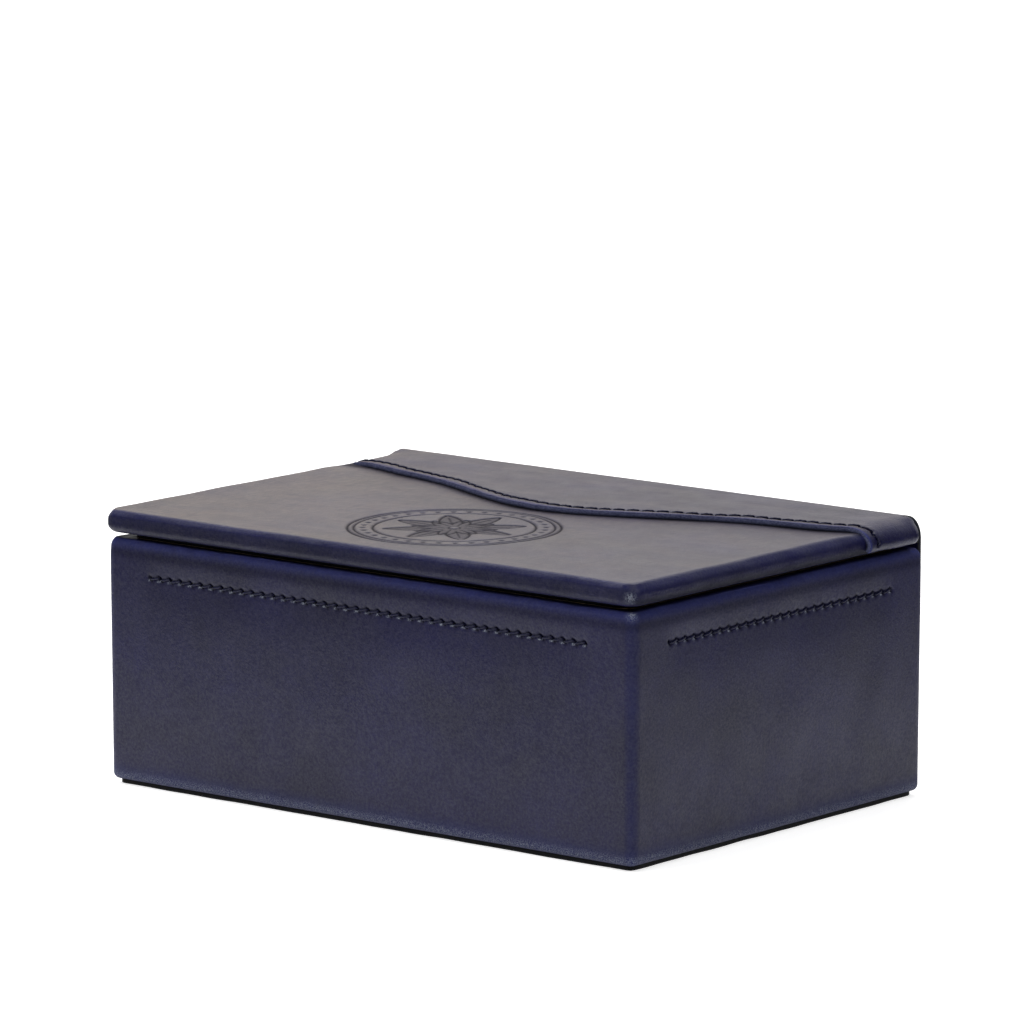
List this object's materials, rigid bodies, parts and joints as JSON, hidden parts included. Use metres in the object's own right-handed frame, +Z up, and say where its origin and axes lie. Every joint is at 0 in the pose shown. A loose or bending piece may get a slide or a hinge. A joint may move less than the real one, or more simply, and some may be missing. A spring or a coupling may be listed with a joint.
{
  "type": "leather desk box",
  "caption": "Navy leather-covered desk box with a lined storage space and a flat lid on a sewn leather hinge.",
  "frame": {"origin": "middle of the leather base panel's underside, on the surface that the box stands on", "axes": "+X along the box's length to the right, -Y out of the front, +Z up; the hinge is along +Y"},
  "size_m": [0.236, 0.1643, 0.0978],
  "materials": {
    "navy_leather": "satin",
    "hinge_leather": "satin",
    "base_leather": "matte",
    "lining_leather": "matte",
    "board": "matte",
    "thread": "matte"
  },
  "bodies": {
    "box_body": {"base_board": "board", "front_board": "board", "back_board": "board", "left_board": "board", "right_board": "board", "body_wrap": "navy_leather", "base_panel": "base_leather", "front_lining": "lining_leather", "back_lining": "lining_leather", "left_lining": "lining_leather", "right_lining": "lining_leather", "floor_lining": "lining_leather", "front_stitching": "thread", "right_stitching": "thread", "back_stitching": "thread", "left_stitching": "thread", "hinge_back": "hinge_leather"},
    "lid": {"lid_board": "board", "lid_cover": "navy_leather", "lid_lining": "lining_leather", "hinge_overlay": "hinge_leather", "overlay_stitching": "thread"}
  },
  "joints": [
    {"name": "lid_hinge", "type": "hinge", "parent": "box_body", "child": "lid", "pos_m": [0, 0.0815, 0.087], "axis": [-1, 0, 0], "range_deg": [0, 105]}
  ]
}
